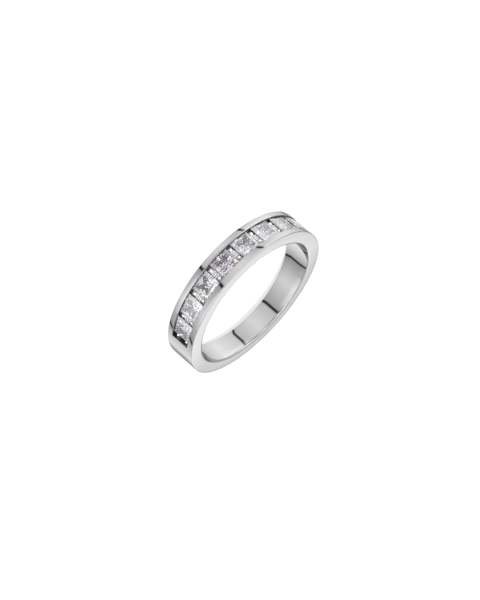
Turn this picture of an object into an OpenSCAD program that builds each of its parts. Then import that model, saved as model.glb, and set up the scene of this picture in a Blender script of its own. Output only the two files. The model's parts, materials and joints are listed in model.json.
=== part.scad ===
// Half-eternity finger ring lying on its side: a cast band with a channel of square-cut stones.
// The bore axis is +Z, the resting side face is z = 0, and the middle of the stone row points to +Y.

/* [Band] */
// Inside diameter, a US size 7
inner_d = 17.3; // [16:0.1:21]
// Width along the bore, over the stones
width_top = 3.95; // [3.8:0.05:5]
// Width along the bore at the back of the shank
width_bottom = 2.8; // [2.4:0.1:3.6]
// Radial thickness in the middle of the stone row
wall_top = 1.82; // [1.8:0.02:2.2]
// Radial thickness at the back of the shank
wall_bottom = 1.64; // [1.4:0.02:1.7]
// Place along Y, from the bore axis, below which the width tapers
taper_from = -0.6; // [-2:0.1:-0.2]
// Chamfer that stands for the polished outer edges
outer_chamfer = 0.12; // [0.05:0.01:0.2]
// Chamfer that stands for the eased edges of the bore
inner_chamfer = 0.2; // [0.1:0.01:0.3]

/* [Channel] */
// Angle from the middle of an end bar to the end wall of the channel
end_angle = 1.6; // [1.3:0.1:2.2]
// Width of the channel between the lips of its two rails
channel_w = 2.44; // [2.38:0.02:2.5]
// Depth of the lips, above the groove that holds the stones
lip_h = 0.23; // [0.18:0.01:0.24]
// Depth at which the groove ends and the bearing slope starts
groove_d = 0.5; // [0.48:0.01:0.56]
// Depth at which the bearing slope ends
bearing_d = 1.02; // [1:0.01:1.1]
// Width of the channel at the end of the bearing slope
bearing_w = 1.8; // [1.78:0.01:1.86]
// Depth of the channel floor
floor_d = 1.28; // [1.26:0.01:1.34]
// Width of the channel floor
floor_w = 1.5; // [1.4:0.05:1.6]
// Diameter of the window through the floor behind each stone
window_d = 1.36; // [1.36:0.02:1.4]

/* [Stones] */
// Number of stones in the row
stone_count = 8; // [4:1:9]
// Length and width of a square stone at its girdle
stone_w = 2.55; // [2.5:0.01:2.56]
// Gap from one stone to the next at their girdles
stone_gap = 0.73; // [0.7:0.01:0.9]
// Depth of the girdle's upper edge below the rails, at the middle of a stone
girdle_d = 0.36; // [0.35:0.01:0.38]
// Thickness of the girdle
girdle_h = 0.05; // [0.03:0.01:0.06]
// Height of the crown above the girdle
crown_h = 0.24; // [0.2:0.01:0.28]
// Depth of the pavilion below the girdle
pavilion_h = 1.32; // [1.28:0.01:1.33]
// Side of the table, as a share of the stone's width
table_share = 0.66; // [0.62:0.01:0.7]
// Play between a stone and its groove
stone_play = 0.03; // [0.02:0.01:0.05]

/* [Cross bars] */
// Thickness of a cross bar along the row
bar_t = 0.64; // [0.3:0.02:0.64]
// Length of a cross bar across the channel
bar_l = 1.86; // [1.8:0.02:2]
// Depth of a cross bar's top below the rails
bar_d = 0.46; // [0.44:0.01:0.6]
// Diameter of the two beads on a cross bar
bead_d = 0.42; // [0.3:0.02:0.46]
// Distance between the two beads on a cross bar
bead_spread = 1.36; // [1.2:0.02:1.4]
// Depth of a bead's top below the rails
bead_top_d = 0.32; // [0.28:0.01:0.36]

/* [Hidden] */
$fn = 96;
bar_count = stone_count + 1;
bore_r = inner_d / 2;
outer_r = bore_r + (wall_top + wall_bottom) / 2;
// The outer surface is a circle set off towards the stones, so the wall is thicker there
outer_y = (wall_top - wall_bottom) / 2;
mid_z = width_top / 2;
// Angle from one stone to the next, and from the middle of the row to the channel's end wall
stone_pitch = 2 * atan((stone_w + stone_gap) / 2 / (outer_r - girdle_d));
channel_half = stone_count / 2 * stone_pitch + end_angle;
// Slant of a side face of the shank, which narrows from taper_from to its back
taper_angle = atan((width_top - width_bottom) / 2 / (taper_from - outer_y + outer_r));
// Height of the cone that cuts a slanted side face, more than the band's width
cone_h = 6;
// How far a cutter passes a face that it cuts, and a joined piece runs into the metal
overlap = 0.2;
// How far an open end of a cutter stands clear of the metal
clear = 1;
// Crown: place of the star facets' outer points, as shares of half the width and of the crown's height
star_share = 0.86;
star_rise = 0.53;
// Pavilion: places of the two chevron points of a side, as shares of half the width and of the depth
upper_share = 0.82;
upper_drop = 0.29;
lower_share = 0.5;
lower_drop = 0.623;

function stone_name(index) = str("stone_", index + 1);

// Angle of a stone from the middle of the row
function stone_angle(index) = (index - (stone_count - 1) / 2) * stone_pitch;

// Angle of a cross bar from the middle of the row
function bar_angle(index) = (index - (bar_count - 1) / 2) * stone_pitch;

// Corner k of a stone's ring of four corners that are a quarter turn apart
function turned(corner, k) = [
    corner[0] * cos(90 * k) - corner[1] * sin(90 * k),
    corner[0] * sin(90 * k) + corner[1] * cos(90 * k),
    corner[2]
];

// Number of corner k in a stone's ring of corners, counting round
function at(ring, k) = 4 * ring + k % 4;

// Places the children at an angle from the middle of the row: +Z outwards, +X along the row, and
// the origin on the outer surface at the middle of the band's width
module on_row(angle) {
    translate([0, outer_y, mid_z])
        rotate([0, 0, -angle])
            translate([0, outer_r, 0])
                rotate([-90, 0, 0])
                    children();
}

// The children and their mirror image about the middle of the band's width
module both_sides() {
    children();
    mirrored_side() children();
}

module mirrored_side() {
    translate([0, 0, width_top])
        mirror([0, 0, 1])
            children();
}

// The children in the plane of the slanted side face, with the origin over the middle of a circle
// whose middle is at y
module on_slant(y) {
    translate([0, taper_from, width_top])
        rotate([taper_angle, 0, 0])
            translate([0, (y - taper_from) / cos(taper_angle), 0])
                children();
}

// Disc of full width with chamfered edges
module blank() {
    translate([0, outer_y, 0])
        rotate_extrude()
            polygon([
                [0, 0],
                [outer_r - outer_chamfer, 0],
                [outer_r, outer_chamfer],
                [outer_r, width_top - outer_chamfer],
                [outer_r - outer_chamfer, width_top],
                [0, width_top]
            ]);
}

// Everything below the slanted side face and inside its chamfer
module side_cone() {
    rim_r = outer_r - outer_chamfer;
    on_slant(outer_y)
        translate([0, 0, -cone_h])
            cylinder(h = cone_h, r1 = rim_r + cone_h, r2 = rim_r);
}

// Countersink of the bore at z = 0 of the place where it is put
module bore_edge() {
    translate([0, 0, -inner_chamfer - overlap])
        cylinder(h = inner_chamfer + 2 * overlap, r1 = bore_r - overlap, r2 = bore_r + inner_chamfer + overlap);
}

// The bore with its eased edges
module bore() {
    translate([0, 0, -clear])
        cylinder(h = width_top + 2 * clear, r = bore_r);
    both_sides() {
        translate([0, 0, width_top])
            bore_edge();
        on_slant(0)
            bore_edge();
    }
}

// Half of the channel's cross-section, from the lip to the floor, on the side given as 1 or -1
function channel_wall(side) = [
    [outer_r + clear, side * channel_w / 2],
    [outer_r - lip_h, side * channel_w / 2],
    [outer_r - lip_h, side * (stone_w / 2 + stone_play)],
    [outer_r - groove_d, side * (stone_w / 2 + stone_play)],
    [outer_r - bearing_d, side * bearing_w / 2],
    [outer_r - floor_d, side * floor_w / 2]
];

// The channel, turned about the middle of the outer circle
module channel() {
    far_wall = channel_wall(-1);
    translate([0, outer_y, mid_z])
        rotate([0, 0, 90 - channel_half])
            rotate_extrude(angle = 2 * channel_half)
                polygon(concat(channel_wall(1), [for (i = [len(far_wall) - 1 : -1 : 0]) far_wall[i]]));
}

// Window through the channel floor behind a stone, open into the bore
module window() {
    translate([0, 0, -wall_top - clear])
        cylinder(h = wall_top + clear - floor_d + overlap, d = window_d, $fn = 48);
}

// Cross bar between two stones with its two beads. An end bar, whose side is 1 or -1, also runs
// into the end wall on that side.
module cross_bar(end_side) {
    translate([-bar_t / 2 - (end_side < 0 ? overlap : 0), -bar_l / 2, -floor_d - overlap])
        cube([bar_t + (end_side == 0 ? 0 : overlap), bar_l, floor_d + overlap - bar_d]);
    for (side = [-1, 1])
        translate([0, side * bead_spread / 2, -bead_top_d - bead_d / 2])
            sphere(d = bead_d, $fn = 28);
}

// Cast band: shank, rails, channel floor with its windows, cross bars and beads in one piece
module band() {
    color([0.83, 0.83, 0.84]) {
        difference() {
            intersection() {
                blank();
                side_cone();
                mirrored_side() side_cone();
            }
            bore();
            channel();
            for (index = [0 : stone_count - 1])
                on_row(stone_angle(index)) window();
        }
        for (index = [0 : bar_count - 1])
            on_row(bar_angle(index))
                cross_bar(index == 0 ? -1 : index == bar_count - 1 ? 1 : 0);
    }
}

// Square-cut stone: a table, stars and corner facets on the crown, a thin girdle, and a pavilion
// whose chevrons run from the corners of the girdle to the culet
module stone(index) {
    half = stone_w / 2;
    // Rings of four corners: table, star points, girdle's upper and lower corners, and the two
    // chevron points of each side
    table = 0;
    star = 1;
    girdle = 2;
    under = 3;
    upper = 4;
    lower = 5;
    culet = 24;
    corners = [
        [half * table_share, half * table_share, crown_h],
        [half * star_share, 0, crown_h * star_rise],
        [half, half, 0],
        [half, half, -girdle_h],
        [half * upper_share, 0, -girdle_h - pavilion_h * upper_drop],
        [half * lower_share, 0, -girdle_h - pavilion_h * lower_drop]
    ];
    points = concat(
        [for (corner = corners) for (k = [0 : 3]) turned(corner, k)],
        [[0, 0, -girdle_h - pavilion_h]]
    );
    // Side k lies between the corners k + 3 and k
    faces = concat(
        [[at(table, 3), at(table, 2), at(table, 1), at(table, 0)]],
        [for (k = [0 : 3]) each [
            [at(table, k + 3), at(table, k), at(star, k)],
            [at(table, k), at(girdle, k), at(star, k)],
            [at(girdle, k + 3), at(table, k + 3), at(star, k)],
            [at(girdle, k), at(girdle, k + 3), at(star, k)],
            [at(girdle, k + 3), at(girdle, k), at(under, k), at(under, k + 3)],
            [at(under, k + 3), at(under, k), at(upper, k)],
            [at(under, k), at(lower, k), at(upper, k)],
            [at(upper, k), at(lower, k), at(under, k + 3)],
            [at(under, k), culet, at(lower, k)],
            [at(under, k + 3), at(lower, k), culet]
        ]]
    );
    color([0.9, 0.91, 0.96])
        on_row(stone_angle(index))
            translate([0, 0, -girdle_d])
                polyhedron(points = points, faces = faces);
}

band();
for (index = [0 : stone_count - 1])
    stone(index);
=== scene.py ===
import json
import math
import random

import bmesh
import bpy
from mathutils import Matrix, Quaternion, Vector


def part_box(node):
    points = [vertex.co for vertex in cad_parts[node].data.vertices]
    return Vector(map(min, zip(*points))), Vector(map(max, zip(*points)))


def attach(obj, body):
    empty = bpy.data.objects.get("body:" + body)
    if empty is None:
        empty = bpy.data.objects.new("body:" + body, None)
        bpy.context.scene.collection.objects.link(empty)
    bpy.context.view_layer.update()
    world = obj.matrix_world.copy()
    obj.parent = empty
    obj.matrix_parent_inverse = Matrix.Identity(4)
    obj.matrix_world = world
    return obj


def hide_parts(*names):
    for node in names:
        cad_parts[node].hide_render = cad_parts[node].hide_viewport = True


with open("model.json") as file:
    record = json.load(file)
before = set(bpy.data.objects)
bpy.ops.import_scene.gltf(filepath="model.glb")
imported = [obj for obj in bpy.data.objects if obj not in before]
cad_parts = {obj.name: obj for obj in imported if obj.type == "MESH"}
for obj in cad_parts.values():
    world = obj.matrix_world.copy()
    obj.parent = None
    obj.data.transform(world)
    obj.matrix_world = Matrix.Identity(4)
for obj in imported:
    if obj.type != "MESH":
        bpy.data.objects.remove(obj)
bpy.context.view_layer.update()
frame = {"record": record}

# Half-eternity finger ring: a polished white metal band with eight square-cut stones in a channel.
# Shapes are worked out in millimetres in the CAD frame and scaled to metres when a mesh is finished.
MM = 0.001
ANGLE = math.radians

# Band, read from the frame
BORE = next(mount for mount in frame["record"]["mounts"] if mount["name"] == "finger_bore")
BORE_R = BORE["dims"]["r_mm"]
BAND_LOW, BAND_HIGH = (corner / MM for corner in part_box("band"))
OUTER_R = (BAND_HIGH.x - BAND_LOW.x) / 2
OUTER_Y = (BAND_HIGH.y + BAND_LOW.y) / 2
WIDTH = BAND_HIGH.z - BAND_LOW.z
HALF_W = WIDTH / 2
MID_Z = (BAND_HIGH.z + BAND_LOW.z) / 2

# Shank: below TAPER_FROM on Y it narrows to these half widths at the back, on the upper side and
# on the resting side
TAPER_FROM = -0.6
TAPER_BLEND = 3.0
HALF_W_BACK = 1.48
HALF_W_BACK_LOW = 1.3

# Rounding of the edges: how far it reaches over the side face, at the front and at the back, and
# over the bore or the outer surface
INNER_ROUND = 0.3
INNER_ROUND_BACK = 0.6
INNER_DROP = 0.16
OUTER_ROUND = 0.15
OUTER_ROUND_BACK = 0.45
OUTER_DROP = 0.06
ROUND_STEPS = 12
SHANK_STEPS = 204

# Edges of the mesh: steps of a bevel, the turns in degrees from which an edge of the channel is
# rounded and any edge stays sharp, and the distance at which points are merged
BEVEL_STEPS = 3
LIP_TURN = 45
SHARP_TURN = 32
MERGE = 0.0005
# How far a point may lie from where it should be, and how far the middle of a flat face may lie
# inside the curved wall that it belongs to
NEAR = 0.001
SAG = 0.01

# Channel: half widths, and depths below the rails. In degrees, END_ANGLE is the way from an end bar
# to the end wall, and END_FACE is how far past it a face still counts as part of the wall.
LIP_HALF = 1.22
LIP_DEPTH = 0.23
GROOVE_HALF = 1.305
GROOVE_DEPTH = 0.5
BEARING_HALF = 0.9
BEARING_DEPTH = 1.02
FLOOR_HALF = 0.75
FLOOR_DEPTH = 1.28
END_ANGLE = 1.6
END_STEPS = 2
END_FACE = 0.1
LIP_ROUND = 0.05

# Window behind each stone
WINDOW_R = 0.68
WINDOW_EASE = 0.05
FLOOR_CELLS = 8
WINDOW_CELLS = 10

# Stones: star points of the crown as shares of half the width and of its height, and points of the
# chevrons below the girdle as shares of half the width and of the depth
STONE_COUNT = 8
STONE_HALF = 1.275
STONE_GAP = 0.73
GIRDLE_DEPTH = 0.36
GIRDLE_H = 0.05
CROWN_H = 0.24
PAVILION_H = 1.32
TABLE_SHARE = 0.66
STAR_POINT = (0.86, 0.53)
CHEVRON_POINTS = ((0.9, 0.17), (0.77, 0.36), (0.6, 0.56), (0.36, 0.77))
# Facets that turn less than this from each other, in degrees, are one facet
FACET_TURN = 0.5
# Light that each stone's pavilion returns and how milky the stone looks, and the further milkiness
# of the facets round the table
STONE_LOOKS = (
    (1.0, 0.12), (1.0, 0.13), (1.0, 0.05), (0.92, 0.0),
    (1.0, 0.07), (1.0, 0.14), (1.0, 0.13), (1.0, 0.06),
)
CROWN_MILK = 0.16
# Sparkle of the pavilion: small facets to a metre, how far they tilt, and how deep their colour is
SPARKS = 3600.0
SPARK_TILT = 0.24
SPARK_FIRE = 0.16

# Cross bars: a base, and between its two beads a saddle of narrow ridges
BAR_T = 0.66
BAR_L = 2.16
BAR_DEPTH = 0.43
BAR_ROUND = 0.05
BASE_DEPTH = 0.58
BASE_REACH = 0.1
RIDGES = 3
RIDGE_L = 0.19
RIDGE_GAP = 0.07
RIDGE_ROUND = 0.03
BEAD_R = 0.2
BEAD_SPREAD = 0.69
BEAD_DEPTH = 0.49
BEAD_SEGMENTS = 32
# Low round seat that a bead stands on. The strip of painted shade between the ridges is as high.
SEAT_R = 0.3
SEAT_RISE = 0.02
# End bars are cut free of the end wall by a slot
END_REACH = 0.12

STONE_PITCH = 2 * math.degrees(math.atan((STONE_HALF + STONE_GAP / 2) / (OUTER_R - GIRDLE_DEPTH)))
STEPS_PER_STONE = 18
ROW_HALF = STONE_COUNT / 2 * STONE_PITCH
CHANNEL_HALF = ROW_HALF + END_ANGLE

# Finishes of the band, by material slot: a mirror polish, a casting's satin whose dark colour is
# painted shade in the channel, on the end bars and between the ridges, and the bright satin of
# saddles and beads as the cutter left them. Each gives the colour, the tint of its grazing
# reflections, and the least and the further roughness of its grain.
POLISHED, CAST_PAINTED_SHADE, SADDLE, BEAD = range(4)
METALS = (
    {
        "name": "polished_white_metal", "colour": (0.72, 0.72, 0.723, 1), "edge": (0.6, 0.6, 0.6, 1),
        "metallic": 1, "smoothest": 0.02, "haze": 0.03,
        "grain": {"Scale": 260.0, "Detail": 3.0, "Roughness": 0.55},
    },
    # Dark colour: painted shade for the channel's recesses; the rough satin is the casting's own.
    {
        "name": "cast_white_metal", "colour": (0.2, 0.2, 0.205, 1), "edge": (1, 1, 1, 1),
        "metallic": 1, "smoothest": 0.28, "haze": 0.2,
        "grain": {"Scale": 6000.0, "Detail": 4.0},
    },
    {
        "name": "saddle_white_metal", "colour": (0.66, 0.66, 0.66, 1), "edge": (1, 1, 1, 1),
        "metallic": 0.45, "smoothest": 0.2, "haze": 0.12,
        "grain": {"Scale": 9000.0, "Detail": 3.0},
    },
    {
        "name": "bead_white_metal", "colour": (0.92, 0.92, 0.92, 1), "edge": (1, 1, 1, 1),
        "metallic": 0.45, "smoothest": 0.2, "haze": 0.12,
        "grain": {"Scale": 9000.0, "Detail": 3.0},
    },
)

# Clear stone, its milky share, and its index of refraction
CLEAR_COLOUR = (0.98, 0.97, 1.0, 1)
MILK_COLOUR = (0.97, 0.95, 1.0, 1)
MILK_ROUGHNESS = 0.05
STONE_IOR = 2.42
# Faint tints of the facets below a stone's girdle, and how often each comes
FACET_TINTS = (
    ((0.99, 0.98, 1.0), 15),
    ((0.88, 0.87, 0.92), 4),
    ((0.6, 0.59, 0.65), 3),
    ((0.8, 0.88, 1.0), 1),
    ((1.0, 0.9, 0.8), 1),
)

# Studio walls: azimuth of the seam where each starts, from +Y towards +X in degrees, and its grey
# after the seam, in its middle and before the next seam
WALLS = (
    (-120, 0.39, 0.86, 0.47),
    (-27, 0.67, 0.93, 0.64),
    (45, 0.78, 1.08, 0.9),
    (135, 1.0, 1.65, 0.52),
)
SEAM = 1.6
SEAM_GREY = 0.03
# Light of the walls by elevation in degrees, up to just below the horizon
WALL_LEVELS = ((-90, 0.85), (-46, 0.92), (-23, 1.0), (-14, 0.95), (-7, 0.4), (-2, 0.1), (1, 0.0))
# Light of the sky from behind the ring (-1) over the top (0) to the camera's side (1), and its
# share by elevation
SKY = (
    (-1, 1.28), (-0.89, 1.28), (-0.86, 1.0), (-0.82, 0.78), (-0.72, 0.58), (-0.2, 0.55),
    (-0.15, 0.06), (-0.1, 0.06), (-0.06, 1.5), (0.12, 1.5), (0.35, 2.0), (0.7, 2.0),
    (0.8, 0.4), (0.9, 0.25), (0.96, 0.1), (1, 0.1),
)
SKY_LEVELS = ((-23, 0.0), (-12, 0.2), (0, 0.25), (9, 0.55), (15, 0.78), (22, 1.0), (90, 1.0))
# Dark patch of ground: azimuth and elevation of its middle, and its light by the angle from there
PATCH = (175, -13)
PATCH_LEVELS = ((180, 1.0), (26, 1.0), (14, 0.35), (0, 0.35))

# Softboxes: name, azimuth and elevation in degrees, distance and side in metres, and power in watts
SOFTBOXES = (
    ("overhead", 0, 90, 0.8, 1.0, 3.4),
    ("right", 38, 36, 0.6, 0.8, 3.4),
    ("left", -58, 30, 0.6, 0.6, 2.4),
)

# Floor, just below the ring: half its side and its drop in millimetres, its grey, and the light that
# it gives like a lit table
FLOOR_REACH = 1500
FLOOR_DROP = 0.01
FLOOR_GREY = (0.4, 0.4, 0.4, 1)
FLOOR_GLOW = 0.6

# Camera at the photograph's angle to the ring: eye and aim in millimetres, roll in degrees, and
# focal length and film width in millimetres
EYE = (-60.96, 217.88, 97.07)
AIM = (-0.84, -0.28, 2.03)
ROLL = 130.83
LENS = 126.68
FILM = 36
CLIP_START = 0.01


def on_row(angle):
    """Matrix of a place on the row: +Z outwards, +X along the row, origin on the outer surface."""
    turn = Matrix.Rotation(ANGLE(-angle), 4, "Z")
    out = Matrix.Translation((0, OUTER_R, 0)) @ Matrix.Rotation(ANGLE(-90), 4, "X")
    return Matrix.Translation((0, OUTER_Y, MID_Z)) @ turn @ out


def stone_angle(index):
    """Angle of a stone from the middle of the row."""
    return (index - (STONE_COUNT - 1) / 2) * STONE_PITCH


def arc(middle, reach, drop, start, end):
    """Points of an elliptical arc in the plane of radius and height, angles in degrees."""
    points = []
    for step in range(ROUND_STEPS + 1):
        a = ANGLE(start + (end - start) * step / ROUND_STEPS)
        points.append((middle[0] + reach * math.cos(a), middle[1] + drop * math.sin(a)))
    return points


def rim():
    """Upper rim of the band's section, from the bore over the side face to the outer surface."""
    inner = arc((BORE_R + INNER_ROUND, HALF_W - INNER_DROP), INNER_ROUND, INNER_DROP, 180, 90)
    outer = arc((OUTER_R - OUTER_ROUND, HALF_W - OUTER_DROP), OUTER_ROUND, OUTER_DROP, 90, 0)
    return inner + outer


def mirrored(points):
    """Lower half of a section, from its upper half."""
    return [(radius, -height) for radius, height in reversed(points)]


def floor_heights():
    """Heights of the points across the channel's floor and the bore behind it."""
    return [FLOOR_HALF * (1 - 2 * cell / FLOOR_CELLS) for cell in range(FLOOR_CELLS + 1)]


def shank_section():
    """Closed section of the shank, with points where the channel's edges meet it."""
    side = [(OUTER_R, LIP_HALF)]
    bore = [(BORE_R, -height) for height in floor_heights()]
    return rim() + side + mirrored(rim() + side) + bore


def channel_section():
    """Closed section of the band with the channel that holds the stones."""
    wall = [
        (OUTER_R, LIP_HALF),
        (OUTER_R - LIP_DEPTH, LIP_HALF),
        (OUTER_R - LIP_DEPTH, GROOVE_HALF),
        (OUTER_R - GROOVE_DEPTH, GROOVE_HALF),
        (OUTER_R - BEARING_DEPTH, BEARING_HALF),
    ]
    floor = [(OUTER_R - FLOOR_DEPTH, height) for height in floor_heights()]
    bore = [(BORE_R, -height) for height in floor_heights()]
    return rim() + wall + floor + mirrored(rim() + wall) + bore


def section_loop(bm, section, angle):
    """Closed loop of edges with the section's shape at an angle from the middle of the row."""
    a = ANGLE(angle)
    verts = [bm.verts.new((r * math.sin(a), r * math.cos(a), MID_Z + z)) for r, z in section]
    edges = [bm.edges.new((verts[i - 1], verts[i])) for i in range(len(verts))]
    return verts + edges


def sweep(bm, loop, angle, steps):
    """Spins a loop about the bore's axis and returns the last loop."""
    spun = bmesh.ops.spin(
        bm, geom=loop, cent=(0, 0, 0), axis=(0, 0, 1), dvec=(0, 0, 0),
        angle=ANGLE(angle), steps=steps, use_merge=False, use_duplicate=False,
    )
    return spun["geom_last"]


def radius_of(vert, y=0.0):
    """Distance of a vertex from the axis through y."""
    return math.hypot(vert.co.x, vert.co.y - y)


def row_angle(point):
    """Angle of a point from the middle of the row, in degrees."""
    return math.degrees(math.atan2(point.x, point.y - OUTER_Y))


def move_radius(vert, y, radius):
    """Puts a vertex at a radius from an axis through y, without turning it about that axis."""
    scale = radius / radius_of(vert, y)
    vert.co.x *= scale
    vert.co.y = y + (vert.co.y - y) * scale


def shape_outer_surface(bm):
    """Moves the outer surface and the channel towards the stones, which thickens the wall there."""
    for vert in bm.verts:
        if radius_of(vert) > BORE_R + INNER_ROUND + NEAR:
            vert.co.y += OUTER_Y


def shape_back(bm):
    """Narrows the shank towards its back, where the rounding of its edges reaches further."""
    length = TAPER_FROM + OUTER_R - OUTER_Y
    for vert in bm.verts:
        below = TAPER_FROM - vert.co.y
        height = vert.co.z - MID_Z
        side = math.copysign(1, height)
        slope = (HALF_W - (HALF_W_BACK if side > 0 else HALF_W_BACK_LOW)) / length
        across = HALF_W - abs(height)
        if below < -TAPER_BLEND or across > INNER_DROP + NEAR:
            continue
        if below < TAPER_BLEND:
            narrow = slope * (below + TAPER_BLEND) ** 2 / (4 * TAPER_BLEND)
        else:
            narrow = slope * below
        share = max(0.0, below / length)
        ease = share * share * (3 - 2 * share)
        outside = OUTER_R - radius_of(vert, OUTER_Y)
        inside = radius_of(vert) - BORE_R
        if outside < OUTER_ROUND + NEAR:
            grow = 1 + ease * (OUTER_ROUND_BACK / OUTER_ROUND - 1)
            move_radius(vert, OUTER_Y, OUTER_R - outside * grow)
        elif inside < INNER_ROUND + NEAR:
            grow = 1 + ease * (INNER_ROUND_BACK / INNER_ROUND - 1)
            move_radius(vert, 0, BORE_R + inside * grow)
        vert.co.z = MID_Z + side * (HALF_W - narrow - across)


def edges_of(verts):
    """Edges at the vertices, each once and always in the same order."""
    return list(dict.fromkeys(edge for vert in verts for edge in vert.link_edges))


def window_ring(bm, angle, radius, wall_radius, wall_y):
    """Ring of vertices where a round window meets a wall about an axis through wall_y."""
    count = 2 * (FLOOR_CELLS + WINDOW_CELLS)
    ring = bmesh.ops.create_circle(bm, segments=count, radius=radius, matrix=on_row(angle))["verts"]
    out = on_row(angle).to_3x3() @ Vector((0, 0, 1))
    for vert in ring:
        flat = Vector((vert.co.x, vert.co.y - wall_y, 0))
        along = flat.dot(out)
        across = (flat - along * out).length
        vert.co += out * (math.sqrt(wall_radius ** 2 - across ** 2) - along)
    return edges_of(ring)


def open_window(bm, angle):
    """Cuts a round window through the channel's floor, with eased edges."""
    floor_r = OUTER_R - FLOOR_DEPTH
    reach = WINDOW_CELLS / 2 * STONE_PITCH / STEPS_PER_STONE
    walls = ((floor_r, OUTER_Y, -1), (BORE_R, 0, 1))
    tubes = []
    for wall_radius, wall_y, inward in walls:
        patch = []
        for face in bm.faces:
            middle = face.calc_center_median()
            turned = abs(row_angle(middle) - angle)
            near_wall = abs(math.hypot(middle.x, middle.y - wall_y) - wall_radius) < SAG
            if near_wall and turned < reach and abs(middle.z - MID_Z) < FLOOR_HALF:
                patch.append(face)
        edges = dict.fromkeys(edge for face in patch for edge in face.edges)
        border = [edge for edge in edges if any(face not in patch for face in edge.link_faces)]
        bmesh.ops.delete(bm, geom=patch, context="FACES")
        mouth = window_ring(bm, angle, WINDOW_R + WINDOW_EASE, wall_radius, wall_y)
        throat = window_ring(bm, angle, WINDOW_R, wall_radius + inward * WINDOW_EASE, wall_y)
        bmesh.ops.bridge_loops(bm, edges=border + mouth)
        bmesh.ops.bridge_loops(bm, edges=mouth + throat)
        tubes += throat
    bmesh.ops.bridge_loops(bm, edges=tubes)


def end_walls(bm):
    """Closes the two ends of the channel."""
    open_edges = [edge for edge in bm.edges if edge.is_boundary]
    bmesh.ops.holes_fill(bm, edges=open_edges, sides=0)


def round_edges(bm, edges, reach):
    bmesh.ops.bevel(
        bm, geom=edges, offset=reach, offset_type="OFFSET", affect="EDGES",
        segments=BEVEL_STEPS, profile=0.5, material=-1,
    )


def round_lips(bm):
    """Rounds the top edges of the channel a little, as polishing does."""
    lips = []
    for edge in bm.edges:
        ends = edge.verts
        on_top = all(abs(radius_of(vert, OUTER_Y) - OUTER_R) < NEAR for vert in ends)
        within = all(abs(vert.co.z - MID_Z) < LIP_HALF + NEAR for vert in ends)
        if on_top and within and edge.calc_face_angle(0) > ANGLE(LIP_TURN):
            lips.append(edge)
    round_edges(bm, lips, LIP_ROUND)


def block(bm, place, low, high, edge_round):
    """Block with rounded edges between two corners at a place on the row."""
    low = Vector(low)
    high = Vector(high)
    shape = Matrix.Translation((low + high) / 2) @ Matrix.Diagonal((*(high - low), 1))
    box = bmesh.ops.create_cube(bm, size=1, matrix=place @ shape)["verts"]
    round_edges(bm, edges_of(box), edge_round)


def finish_faces(bm, finish):
    """Gives a finish to the newest faces, which are the ones that still have the first finish."""
    for face in bm.faces:
        if face.material_index == POLISHED:
            face.material_index = finish
            face.smooth = True


def cross_bar(bm, angle, end_side):
    """Bar across the channel with its two beads. A slot parts an end bar from the end wall."""
    place = on_row(angle)
    # End bars take the finish painted dark as shade; the other bars take the saddle's satin.
    bar_finish = CAST_PAINTED_SHADE if end_side else SADDLE
    left = -END_REACH if end_side < 0 else -BAR_T / 2
    right = END_REACH if end_side > 0 else BAR_T / 2
    foot = -BASE_DEPTH - BASE_REACH
    pitch = RIDGE_L + RIDGE_GAP
    reach = RIDGES * pitch / 2
    base_low = (left, -BAR_L / 2, -FLOOR_DEPTH - BASE_REACH)
    block(bm, place, base_low, (right, BAR_L / 2, -BASE_DEPTH), BAR_ROUND)
    finish_faces(bm, bar_finish)
    # Strip between the ridges, painted dark as shade in the gaps.
    block(bm, place, (left, -reach, foot), (right, reach, SEAT_RISE - BASE_DEPTH), RIDGE_ROUND)
    finish_faces(bm, CAST_PAINTED_SHADE)
    for ridge in range(RIDGES):
        middle = (ridge - (RIDGES - 1) / 2) * pitch
        low = (left, middle - RIDGE_L / 2, foot)
        block(bm, place, low, (right, middle + RIDGE_L / 2, -BAR_DEPTH), RIDGE_ROUND)
    finish_faces(bm, bar_finish)
    for side in (-1, 1):
        seat = Matrix.Translation((0, side * BEAD_SPREAD, SEAT_RISE / 2 - BASE_DEPTH))
        bead = Matrix.Translation((0, side * BEAD_SPREAD, -BEAD_DEPTH))
        bmesh.ops.create_cone(
            bm, cap_ends=True, segments=BEAD_SEGMENTS, radius1=SEAT_R, radius2=SEAT_R,
            depth=2 * SEAT_RISE, matrix=place @ seat,
        )
        bmesh.ops.create_uvsphere(
            bm, u_segments=BEAD_SEGMENTS, v_segments=BEAD_SEGMENTS // 2, radius=BEAD_R,
            matrix=place @ bead,
        )
    finish_faces(bm, BEAD)


def mark_finish(bm):
    """Gives the inside of the channel its finish, painted dark as shade, and marks sharp edges."""
    for face in bm.faces:
        middle = face.calc_center_median()
        face.smooth = True
        face.material_index = POLISHED
        depth = OUTER_R - math.hypot(middle.x, middle.y - OUTER_Y)
        across = abs(middle.z - MID_Z) < GROOVE_HALF + SAG
        along = abs(row_angle(middle)) < CHANNEL_HALF + END_FACE
        if along and across and LIP_ROUND < depth < FLOOR_DEPTH + SAG:
            face.material_index = CAST_PAINTED_SHADE
    for edge in bm.edges:
        edge.smooth = edge.calc_face_angle(0) < ANGLE(SHARP_TURN)


def finished(name, bm, materials):
    """Turns a bmesh in millimetres into an object in metres, in the CAD frame."""
    bmesh.ops.scale(bm, vec=(MM, MM, MM), verts=bm.verts)
    mesh = bpy.data.meshes.new(name)
    bm.to_mesh(mesh)
    bm.free()
    for material in materials:
        mesh.materials.append(material)
    piece = bpy.data.objects.new(name, mesh)
    bpy.context.scene.collection.objects.link(piece)
    return piece


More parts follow.
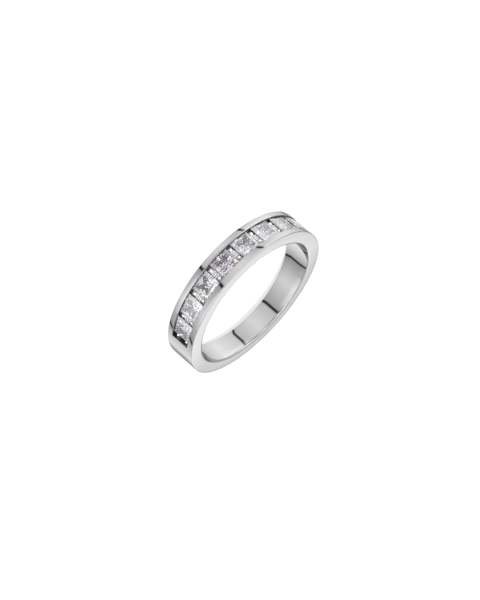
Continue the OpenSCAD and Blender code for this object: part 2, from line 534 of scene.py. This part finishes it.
def make_band(finishes):
    """Band with the channel, the windows behind the stones, and the cross bars."""
    bm = bmesh.new()
    row = section_loop(bm, channel_section(), CHANNEL_HALF)
    row = sweep(bm, row, END_ANGLE, END_STEPS)
    row = sweep(bm, row, 2 * ROW_HALF, STEPS_PER_STONE * STONE_COUNT)
    sweep(bm, row, END_ANGLE, END_STEPS)
    shank = section_loop(bm, shank_section(), -CHANNEL_HALF)
    sweep(bm, shank, 360 - 2 * CHANNEL_HALF, SHANK_STEPS)
    bmesh.ops.remove_doubles(bm, verts=bm.verts, dist=MERGE)
    end_walls(bm)
    shape_outer_surface(bm)
    for index in range(STONE_COUNT):
        open_window(bm, stone_angle(index))
    shape_back(bm)
    bmesh.ops.recalc_face_normals(bm, faces=bm.faces)
    round_lips(bm)
    mark_finish(bm)
    metal_bars = bmesh.new()
    for index in range(STONE_COUNT + 1):
        end_side = {0: -1, STONE_COUNT: 1}.get(index, 0)
        cross_bar(metal_bars, (index - STONE_COUNT / 2) * STONE_PITCH, end_side)
    bmesh.ops.recalc_face_normals(metal_bars, faces=metal_bars.faces)
    bars = finished("bars", metal_bars, finishes)
    band = finished("ring_band", bm, finishes)
    with bpy.context.temp_override(active_object=band, selected_editable_objects=[band, bars]):
        bpy.ops.object.join()
    even = band.modifiers.new("even_normals", "WEIGHTED_NORMAL")
    even.keep_sharp = True
    even.weight = 100
    return band


def mark_facets(bm, name, light, milk):
    """Stores a tint for each facet, whether it lies below the girdle, and how milky it looks."""
    draw = random.Random(name)
    colours, counts = zip(*FACET_TINTS)
    tint = bm.loops.layers.float_color.new("tint")
    part = bm.loops.layers.float_color.new("part")
    for face in bm.faces:
        middle = face.calc_center_median()
        below = middle.z < -GIRDLE_H
        table = middle.z > CROWN_H - NEAR
        colour = draw.choices(colours, counts)[0] if below else FACET_TINTS[0][0]
        milkiness = milk if table or below else milk + CROWN_MILK
        for loop in face.loops:
            loop[tint] = (*(light * level for level in colour), 1)
            loop[part] = (float(below), milkiness, 0, 1)


def make_stone(name, angle, light, milk, material):
    """Square-cut stone: corners of its facets, closed by a convex hull."""
    place = on_row(angle) @ Matrix.Translation((0, 0, -GIRDLE_DEPTH))
    bm = bmesh.new()
    half = STONE_HALF
    star_out, star_up = STAR_POINT
    corners = [
        (half * TABLE_SHARE, half * TABLE_SHARE, CROWN_H),
        (half * star_out, 0, CROWN_H * star_up),
        (half, half, 0),
        (half, half, -GIRDLE_H),
    ]
    for out, down in CHEVRON_POINTS:
        corners.append((half * out, 0, -GIRDLE_H - PAVILION_H * down))
    for corner in corners:
        for quarter in range(4):
            bm.verts.new(Matrix.Rotation(ANGLE(90 * quarter), 3, "Z") @ Vector(corner))
    bm.verts.new((0, 0, -GIRDLE_H - PAVILION_H))
    bmesh.ops.convex_hull(bm, input=bm.verts)
    bmesh.ops.dissolve_limit(bm, angle_limit=ANGLE(FACET_TURN), verts=bm.verts, edges=bm.edges)
    bmesh.ops.recalc_face_normals(bm, faces=bm.faces)
    mark_facets(bm, name, light, milk)
    bmesh.ops.transform(bm, matrix=place, verts=bm.verts)
    return finished(name, bm, [material])


class Value:
    """A shader socket that takes part in arithmetic."""

    def __init__(self, socket):
        self.socket = socket

    def combine(self, kind, operation, others):
        node = self.socket.id_data.nodes.new(kind)
        node.operation = operation
        for socket, value in zip(node.inputs, (self, *others)):
            plug(socket, value)
        return Value(node.outputs[0])

    def math(self, operation, *others):
        return self.combine("ShaderNodeMath", operation, others)

    def vector(self, operation, *others):
        return self.combine("ShaderNodeVectorMath", operation, others)

    def __add__(self, other):
        return self.math("ADD", other)

    def __mul__(self, other):
        return self.math("MULTIPLY", other)

    __radd__ = __add__
    __rmul__ = __mul__


def plug(socket, value):
    """Links a value to a socket, or sets the socket to a number, a colour or a vector."""
    if isinstance(value, Value):
        socket.id_data.links.new(value.socket, socket)
    else:
        socket.default_value = value


class Look:
    """Node tree of a material or of the world, cleared and ready for new nodes."""

    def __init__(self, owner):
        owner.use_nodes = True
        self.tree = owner.node_tree
        self.tree.nodes.clear()

    def node(self, kind, settings=None, **inputs):
        """New node: its settings are set first, then its sockets get their values or links."""
        node = self.tree.nodes.new("ShaderNode" + kind)
        for name, setting in (settings or {}).items():
            if name == "stops":
                self.set_stops(node.color_ramp, setting)
            else:
                setattr(node, name, setting)
        for name, value in inputs.items():
            plug(node.inputs[name.replace("_", " ")], value)
        return node

    def set_stops(self, ramp, stops):
        while len(ramp.elements) < len(stops):
            ramp.elements.new(1)
        for element, (place, grey) in zip(ramp.elements, stops):
            element.position = place
            element.color = (grey, grey, grey, 1)

    def mix(self, factor, first, second):
        """Mix Shader of two shader nodes."""
        mixed = self.node("MixShader", Fac=factor)
        for socket, shader in zip(mixed.inputs[1:], (first, second)):
            plug(socket, Value(shader.outputs[0]))
        return mixed

    def value(self, kind, output, settings=None, **inputs):
        return Value(self.node(kind, settings, **inputs).outputs[output])


def new_material(name):
    material = bpy.data.materials.new(name)
    return material, Look(material)


def surface(look, shader):
    look.node("OutputMaterial", Surface=Value(shader.outputs[0]))


def white_metal(name, colour, edge, metallic, smoothest, haze, grain):
    """White metal whose roughness varies a little with a fine grain."""
    material, look = new_material(name)
    place = look.value("TexCoord", "Object")
    noise = look.value("TexNoise", "Fac", Vector=place, **grain)
    shader = look.node(
        "BsdfPrincipled", Base_Color=colour, Metallic=metallic, Roughness=smoothest + noise * haze,
        Specular_Tint=edge,
    )
    surface(look, shader)
    return material


def clear_stone():
    """Clear faceted stone. From inside, the facets below the girdle return the light as mirrors."""
    material, look = new_material("clear_stone")
    tint = look.value("Attribute", "Color", {"attribute_name": "tint"})
    part = look.value("Attribute", "Color", {"attribute_name": "part"})
    marks = look.node("SeparateColor", Color=part)
    below = Value(marks.outputs["Red"])
    milk = Value(marks.outputs["Green"])
    inside = look.value("NewGeometry", "Backfacing")
    place = look.value("TexCoord", "Object")
    cells = look.value("TexVoronoi", "Color", Vector=place, Scale=SPARKS)
    tilt = cells.vector("SUBTRACT", (0.5,) * 3).vector("MULTIPLY", (SPARK_TILT,) * 3)
    normal = look.value("NewGeometry", "Normal").vector("ADD", tilt).vector("NORMALIZE")
    fire = cells.vector("MULTIPLY", (SPARK_FIRE,) * 3).vector("ADD", (1 - SPARK_FIRE / 2,) * 3)
    clear = look.node(
        "BsdfPrincipled", Base_Color=CLEAR_COLOUR, Roughness=0, IOR=STONE_IOR, Transmission_Weight=1,
    )
    milky = look.node("BsdfPrincipled", Base_Color=MILK_COLOUR, Roughness=MILK_ROUGHNESS)
    mirror = look.node(
        "BsdfPrincipled", Base_Color=tint.vector("MULTIPLY", fire), Metallic=1, Roughness=0,
        Normal=normal,
    )
    outside = look.mix(milk, clear, milky)
    surface(look, look.mix(below * inside, outside, mirror))
    return material


def make_camera():
    eye = Vector(EYE) * MM
    aim = Vector(AIM) * MM
    data = bpy.data.cameras.new("camera")
    data.sensor_width = FILM
    data.lens = LENS
    data.clip_start = CLIP_START
    camera = bpy.data.objects.new("camera", data)
    camera.location = eye
    look_at = (aim - eye).to_track_quat("-Z", "Y")
    camera.rotation_mode = "QUATERNION"
    camera.rotation_quaternion = look_at @ Quaternion((0, 0, 1), ANGLE(ROLL))
    bpy.context.scene.collection.objects.link(camera)
    bpy.context.scene.camera = camera


def make_floor():
    """Pale lit floor. It lights the stones, but the polished metal mirrors only the studio."""
    bm = bmesh.new()
    place = Matrix.Translation((0, 0, -FLOOR_DROP))
    bmesh.ops.create_grid(bm, x_segments=1, y_segments=1, size=FLOOR_REACH, matrix=place)
    material, look = new_material("pale_floor")
    shader = look.node(
        "BsdfPrincipled", Base_Color=FLOOR_GREY, Roughness=1, Specular_IOR_Level=0,
        Emission_Color=(1, 1, 1, 1), Emission_Strength=FLOOR_GLOW,
    )
    surface(look, shader)
    floor = finished("floor", bm, [material])
    floor.visible_glossy = False


def ramp(look, factor, stops):
    """Grey that follows a factor from stop to stop."""
    return look.value("ValToRGB", "Color", {"stops": stops}, Fac=factor)


def by_height(levels):
    """Ramp stops from elevations in degrees and greys, for a factor of half the direction's Z."""
    return [(0.5 + math.sin(ANGLE(elevation)) / 2, grey) for elevation, grey in levels]


def by_cosine(levels):
    """Ramp stops from angles in degrees and greys, for a factor of half the angle's cosine."""
    return [(0.5 + math.cos(ANGLE(angle)) / 2, grey) for angle, grey in levels]


def by_azimuth(levels):
    """Ramp stops from azimuths in degrees and greys, for a factor that starts at the first seam."""
    return [((azimuth - WALLS[0][0]) / 360, grey) for azimuth, grey in levels]


def direction(azimuth, elevation):
    """Unit vector, azimuth from +Y towards +X in degrees."""
    a = ANGLE(azimuth)
    flat = math.cos(ANGLE(elevation))
    return Vector((math.sin(a) * flat, math.cos(a) * flat, math.sin(ANGLE(elevation))))


def make_world():
    """Studio of four pale walls with dark seams, a sky over them, and a dark patch of ground."""
    world = bpy.data.worlds.new("studio")
    bpy.context.scene.world = world
    look = Look(world)
    parts = look.node("SeparateXYZ", Vector=look.value("TexCoord", "Generated"))
    x, y, z = (Value(parts.outputs[axis]) for axis in "XYZ")
    azimuth = x.math("ARCTAN2", y) * math.degrees(1)
    turn = (azimuth + (360 - WALLS[0][0])).math("MODULO", 360) * (1 / 360)
    height = z * 0.5 + 0.5
    levels = []
    ends = [wall[0] for wall in WALLS[1:]] + [WALLS[0][0] + 360]
    for (start, first, middle, last), end in zip(WALLS, ends):
        levels += [(start + SEAM, SEAM_GREY), (start + 2 * SEAM, first)]
        levels += [((start + end) / 2, middle)]
        levels += [(end - 2 * SEAM, last), (end - SEAM, SEAM_GREY)]
    walls = ramp(look, turn, by_azimuth(levels))
    walls = walls * ramp(look, height, by_height(WALL_LEVELS))
    sky = ramp(look, y * 0.5 + 0.5, [(0.5 + place / 2, grey) for place, grey in SKY])
    grey = walls + sky * ramp(look, height, by_height(SKY_LEVELS))
    middle = direction(*PATCH)
    toward = x * middle.x + y * middle.y + z * middle.z
    grey = grey * ramp(look, toward * 0.5 + 0.5, by_cosine(PATCH_LEVELS))
    background = look.node("Background", Color=grey, Strength=1.0)
    look.node("OutputWorld", Surface=Value(background.outputs[0]))


def softbox(name, azimuth, elevation, distance, size, power):
    """Square area light that faces the ring, azimuth from +Y towards +X. Metal doesn't mirror it."""
    data = bpy.data.lights.new(name, "AREA")
    data.shape = "SQUARE"
    data.size = size
    data.energy = power
    lamp = bpy.data.objects.new(name, data)
    out = direction(azimuth, elevation)
    lamp.location = out * distance
    lamp.rotation_mode = "QUATERNION"
    lamp.rotation_quaternion = out.to_track_quat("Z", "Y")
    lamp.visible_glossy = False
    lamp.visible_transmission = False
    bpy.context.scene.collection.objects.link(lamp)


make_camera()
make_floor()
make_world()
for box in SOFTBOXES:
    softbox(*box)
bpy.context.scene.view_settings.view_transform = "Standard"

band = make_band([white_metal(**metal) for metal in METALS])
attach(band, "root")
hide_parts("band")

clear = clear_stone()
for index, (light, milk) in enumerate(STONE_LOOKS):
    node = f"stone_{index + 1}"
    stone = make_stone(f"princess_{node}", stone_angle(index), light, milk, clear)
    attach(stone, "root")
    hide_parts(node)
